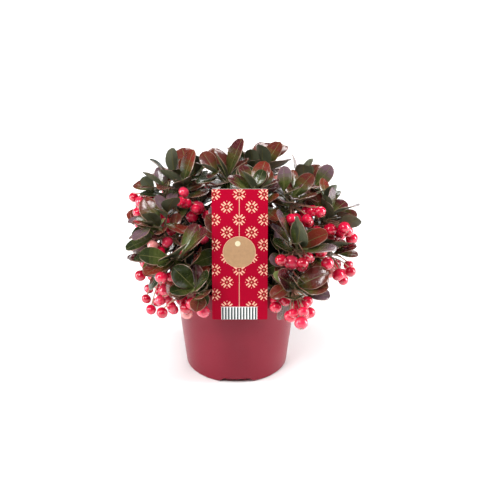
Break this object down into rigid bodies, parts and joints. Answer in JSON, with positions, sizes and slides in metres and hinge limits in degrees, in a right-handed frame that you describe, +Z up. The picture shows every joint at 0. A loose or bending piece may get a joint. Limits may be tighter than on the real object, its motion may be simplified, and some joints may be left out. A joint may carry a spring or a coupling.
{
  "type": "potted wintergreen shrub with berries and card label",
  "caption": "Low bushy wintergreen shrub with glossy oval leaves and round red berries, in a round tapered plastic pot with a patterned card clipped to its rim.",
  "frame": {"origin": "centre of the pot's flat underside, at the level it stands on", "axes": "+Z up, -Y towards the card label, +X to the right when facing the card"},
  "size_m": [0.2104, 0.2228, 0.2129],
  "materials": {
    "pot_plastic": "satin",
    "peat": "crumbly, damp",
    "bark": "matte",
    "foliage": "leathery, glossy",
    "card_print": "coated, satin",
    "clip_plastic": "clear"
  },
  "bodies": {
    "root": {"foliage_back_high": "foliage", "foliage_back_left_high": "foliage", "foliage_back_left_low": "foliage", "foliage_back_low": "foliage", "foliage_back_right_high": "foliage", "foliage_back_right_low": "foliage", "foliage_front_high": "foliage", "foliage_front_left": "foliage", "foliage_front_left_low": "foliage", "foliage_front_middle": "foliage", "foliage_front_right": "foliage", "foliage_front_right_low": "foliage", "foliage_left_back_low": "foliage", "foliage_left_high": "foliage", "foliage_left_inner": "foliage", "foliage_left_low": "foliage", "foliage_left_middle": "foliage", "foliage_right_back_low": "foliage", "foliage_right_high": "foliage", "foliage_right_inner": "foliage", "foliage_right_low": "foliage", "foliage_summit": "foliage", "foliage_summit_right": "foliage", "label_card": "card_print", "label_clip": "clip_plastic", "main_stem": "bark", "pot": "pot_plastic", "potting_mix": "peat", "stem_back_high": "bark", "stem_back_left_high": "bark", "stem_back_left_low": "bark", "stem_back_low": "bark", "stem_back_right_high": "bark", "stem_back_right_low": "bark", "stem_front_high": "bark", "stem_front_left": "bark", "stem_front_left_low": "bark", "stem_front_middle": "bark", "stem_front_right": "bark", "stem_front_right_low": "bark", "stem_left_back_low": "bark", "stem_left_high": "bark", "stem_left_inner": "bark", "stem_left_low": "bark", "stem_left_middle": "bark", "stem_right_back_low": "bark", "stem_right_high": "bark", "stem_right_inner": "bark", "stem_right_low": "bark", "stem_summit": "bark", "stem_summit_right": "bark"}
  },
  "joints": []
}
